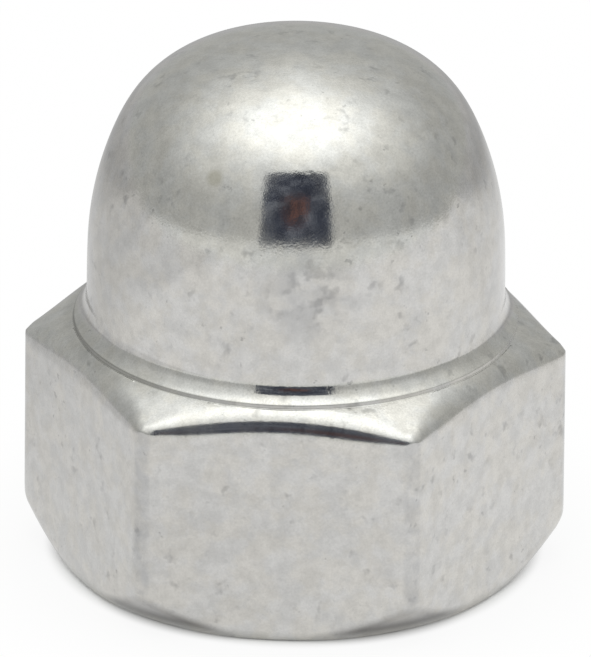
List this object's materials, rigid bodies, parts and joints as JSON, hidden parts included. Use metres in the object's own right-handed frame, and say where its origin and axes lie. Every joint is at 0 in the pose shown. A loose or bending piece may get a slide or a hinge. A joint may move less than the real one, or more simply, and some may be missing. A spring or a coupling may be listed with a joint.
{
  "type": "cap nut",
  "caption": "Hexagon domed cap nut with a blind threaded hole that covers and closes the end of a bolt or stud.",
  "frame": {"origin": "centre of the hexagon on the plane of the bearing face, so the nut stands on z = 0", "axes": "+Z along the nut's axis, from the bearing face to the top of the dome; -Y is the outward normal of one flat, and corners lie on +X and -X"},
  "size_m": [0.0148, 0.013, 0.0147],
  "materials": {
    "zinc_plate": "bright zinc plate on steel, smooth and mirror-like under a light haze, with small pits and specks"
  },
  "bodies": {
    "root": {"cap_nut": "zinc_plate"}
  },
  "joints": []
}
